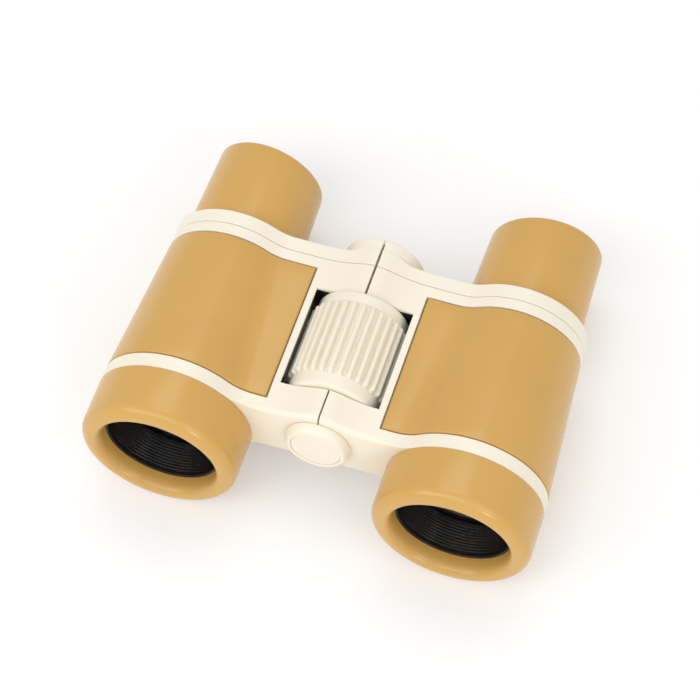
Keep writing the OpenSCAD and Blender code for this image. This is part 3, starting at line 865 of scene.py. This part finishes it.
def mixed(tree, factor, first, second):
    """Two shaders mixed by a factor."""
    node = tree.nodes.new("ShaderNodeMixShader")
    tree.links.new(factor, node.inputs["Fac"])
    tree.links.new(first, node.inputs[1])
    tree.links.new(second, node.inputs[2])
    return node.outputs["Shader"]


def seen_rays(tree):
    """1 for rays that show the backdrop: from the camera, in reflections and through the lenses."""
    path = tree.nodes.new("ShaderNodeLightPath")
    last = path.outputs["Is Camera Ray"]
    for name in ("Is Glossy Ray", "Is Transmission Ray"):
        both = math_node(tree, "MAXIMUM", last)
        tree.links.new(path.outputs[name], both.inputs[1])
        last = both.outputs["Value"]
    return last


def floor_material():
    """Matt and pale, lifted a little towards white where it is seen, and clear from below."""
    material, tree, shader = node_tree("studio_floor")
    shader.inputs["Base Color"].default_value = FLOOR_COLOUR
    shader.inputs["Roughness"].default_value = FLOOR_ROUGHNESS
    shader.inputs["Specular IOR Level"].default_value = 0.0
    glow = tree.nodes.new("ShaderNodeEmission")
    glow.inputs["Strength"].default_value = FLOOR_GLOW
    share = math_node(tree, "MULTIPLY", seen_rays(tree))
    share.inputs[1].default_value = FLOOR_LIFT
    lifted = mixed(tree, share.outputs["Value"], shader.outputs["BSDF"], glow.outputs["Emission"])
    below = tree.nodes.new("ShaderNodeNewGeometry").outputs["Backfacing"]
    clear = tree.nodes.new("ShaderNodeBsdfTransparent").outputs["BSDF"]
    tree.links.new(mixed(tree, below, lifted, clear),
                   tree.nodes["Material Output"].inputs["Surface"])
    return material


def floor():
    """Floor under the rings and the bridge, which the object rests on.

    The barrels taper, so the floor that joins the two slopes a little.
    """
    slope = BRIDGE_LOW / (BRIDGE_Y0 + BRIDGE_T - RING_Y1)
    verts = []
    for x, y in ((-1, -1), (1, -1), (1, 1), (-1, 1)):
        z = slope * (y * FLOOR_SIZE - RING_Y1) - FLOOR_GAP
        verts.append((x * FLOOR_SIZE * MM, y * FLOOR_SIZE * MM, z * MM))
    mesh = bpy.data.meshes.new("floor")
    mesh.from_pydata(verts, [], [(0, 1, 2, 3)])
    mesh.materials.append(floor_material())
    piece = bpy.data.objects.new("floor", mesh)
    bpy.context.scene.collection.objects.link(piece)
    under_ring(piece)


def under_ring(piece):
    """The right half folds down about the hinge, and the floor goes down with its ring."""
    ring = bpy.data.objects["right_ring_look"]
    middle = ring.vertex_groups.new(name="middle")
    middle.add(range(len(ring.data.vertices)), 1.0, "REPLACE")
    piece.location.z = -AXIS_Z * MM
    follow = piece.constraints.new("COPY_LOCATION")
    follow.target = ring
    follow.subtarget = middle.name
    follow.use_x = follow.use_y = False
    follow.use_offset = True


def aimed(name, data, place, target):
    """Lamp or camera at a place, looking at a target."""
    piece = bpy.data.objects.new(name, data)
    piece.location = place * MM
    piece.rotation_euler = (target - place).to_track_quat("-Z", "Y").to_euler()
    bpy.context.scene.collection.objects.link(piece)
    return piece


def softbox(name, place, size, power):
    lamp = bpy.data.lights.new(name, "AREA")
    lamp.shape = "RECTANGLE"
    lamp.size, lamp.size_y = size[0] * MM, size[1] * MM
    lamp.energy = power
    aimed(name, lamp, Vector(place), LAMP_AIM)


def surround():
    """Pale world: brighter where it is seen or reflected than where it only lights the object."""
    world = bpy.data.worlds.new("studio")
    bpy.context.scene.world = world
    world.use_nodes = True
    tree = world.node_tree
    tree.nodes.clear()
    lit = tree.nodes.new("ShaderNodeBackground")
    lit.inputs["Color"].default_value = (1.0, 1.0, 1.0, 1)
    lit.inputs["Strength"].default_value = WORLD_LIGHT
    seen = tree.nodes.new("ShaderNodeBackground")
    seen.inputs["Strength"].default_value = WORLD_SEEN
    out = tree.nodes.new("ShaderNodeOutputWorld")
    tree.links.new(mixed(tree, seen_rays(tree), lit.outputs["Background"],
                         seen.outputs["Background"]), out.inputs["Surface"])


def camera():
    """View fitted to the photograph: a long lens, 58 degrees down, 17.5 degrees round to the right."""
    place = CAMERA_AIM + CAMERA_OFFSET
    ahead = (CAMERA_AIM - place).normalized()
    right = ahead.cross(Vector((0, 0, 1))).normalized()
    up = right.cross(ahead)
    lens = bpy.data.cameras.new("camera")
    lens.sensor_width = CAMERA_SENSOR
    lens.lens = CAMERA_LENS
    lens.clip_start = CAMERA_NEAR * MM
    lens.clip_end = CAMERA_FAR * MM
    target = CAMERA_AIM - right * CAMERA_SHIFT_LEFT + up * CAMERA_SHIFT_UP
    bpy.context.scene.camera = aimed("camera", lens, place, target)


floor()
for lamp in LAMPS:
    softbox(*lamp)
surround()
camera()
bpy.context.scene.view_settings.view_transform = "Standard"
